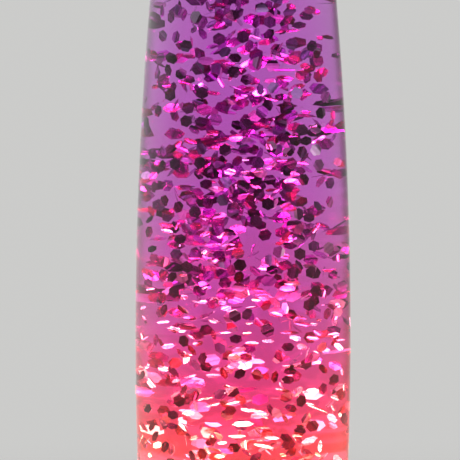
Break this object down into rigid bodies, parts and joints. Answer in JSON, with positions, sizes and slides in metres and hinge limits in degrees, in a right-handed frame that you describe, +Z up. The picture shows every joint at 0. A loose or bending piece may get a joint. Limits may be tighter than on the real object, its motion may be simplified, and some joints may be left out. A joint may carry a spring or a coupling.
{
  "type": "glitter lamp",
  "caption": "Table glitter lamp: torpedo glass bottle of violet-to-pink liquid with hexagonal flakes, on an hourglass metal base with a screw-in bulb and rocker switch, under a metal cap.",
  "frame": {"origin": "middle of the footprint, on the surface that the rubber feet stand on", "axes": "+Z up along the axis of the bottle and base, -Y the front that the picture shows, +Y the back with the cord inlet, +X the side with the switch"},
  "size_m": [0.1, 0.1, 0.3676],
  "materials": {
    "bottle_glass": "clear, polished",
    "liquid": "tinted clear liquid, violet above and pink below",
    "glitter": "mirror-bright film, hexagonal flakes",
    "crown_steel": "tinplate, fluted",
    "liner_plastic": "natural moulding",
    "spun_aluminium": "spun and lacquered, fine turning lines",
    "pressed_steel": "zinc plated",
    "screw_steel": "zinc plated",
    "gasket_silicone": "matt silicone",
    "black_rubber": "matt",
    "holder_moulding": "moulded phenolic",
    "brass": "bare",
    "insulator_black": "fused black glass",
    "bulb_glass": "clear",
    "filament": "tungsten",
    "block_nylon": "natural nylon",
    "lead_brown": "flexible insulation",
    "lead_black": "flexible insulation",
    "lead_blue": "flexible insulation",
    "switch_moulding": "moulded",
    "rocker_moulding": "moulded, polished"
  },
  "bodies": {
    "base": {"base_cone": "spun_aluminium", "bottle_cup": "spun_aluminium", "waist_rivets": "spun_aluminium", "seat_ring": "pressed_steel", "bottom_plate": "pressed_steel", "plate_lugs": "pressed_steel", "holder_bridge": "pressed_steel", "plate_screws": "screw_steel", "bridge_rivets": "screw_steel", "holder_screws": "screw_steel", "block_screw": "screw_steel", "seat_gasket": "gasket_silicone", "rubber_feet": "black_rubber", "cord_grommet": "black_rubber", "lamp_holder": "holder_moulding", "holder_terminals": "brass", "screw_sleeve": "brass", "centre_contact": "brass", "terminal_sleeves": "brass", "terminal_screws": "brass", "switch_blades": "brass", "terminal_block": "block_nylon", "lead_live": "lead_brown", "lead_switched": "lead_black", "lead_neutral": "lead_blue", "switch_housing": "switch_moulding"},
    "bottle": {"bottle_glass": "bottle_glass", "liquid": "liquid", "glitter": "glitter", "crown_cap": "crown_steel", "crown_liner": "liner_plastic"},
    "cap": {"cap_shell": "spun_aluminium", "cap_liner": "liner_plastic"},
    "bulb_tip": {"bulb_tip": "brass"},
    "bulb": {"bulb_insulator": "insulator_black", "bulb_screw_cap": "brass", "bulb_glass": "bulb_glass", "bulb_stem": "bulb_glass", "bulb_supports": "pressed_steel", "bulb_filament": "filament"},
    "rocker": {"switch_rocker": "rocker_moulding"}
  },
  "joints": [
    {"name": "bottle_lift", "type": "slide", "parent": "base", "child": "bottle", "axis": [0, 0, 1], "range_m": [0, 0.045]},
    {"name": "cap_lift", "type": "slide", "parent": "bottle", "child": "cap", "axis": [0, 0, 1], "range_m": [0, 0.04]},
    {"name": "bulb_rise", "type": "slide", "parent": "base", "child": "bulb_tip", "axis": [0, 0, 1], "range_m": [0, 0.0072]},
    {"name": "bulb_turn", "type": "hinge", "parent": "bulb_tip", "child": "bulb", "pos_m": [0, 0, 0.023], "axis": [0, 0, 1], "range_deg": [0, 900]},
    {"name": "rocker_press", "type": "hinge", "parent": "base", "child": "rocker", "pos_m": [0.03805, 0, 0.02693], "axis": [0, 1, 0], "range_deg": [-20, 0]}
  ],
  "couplings": [
    {"joint": "bulb_rise", "follows": "bulb_turn", "m_per_rad": 0.00044913}
  ]
}
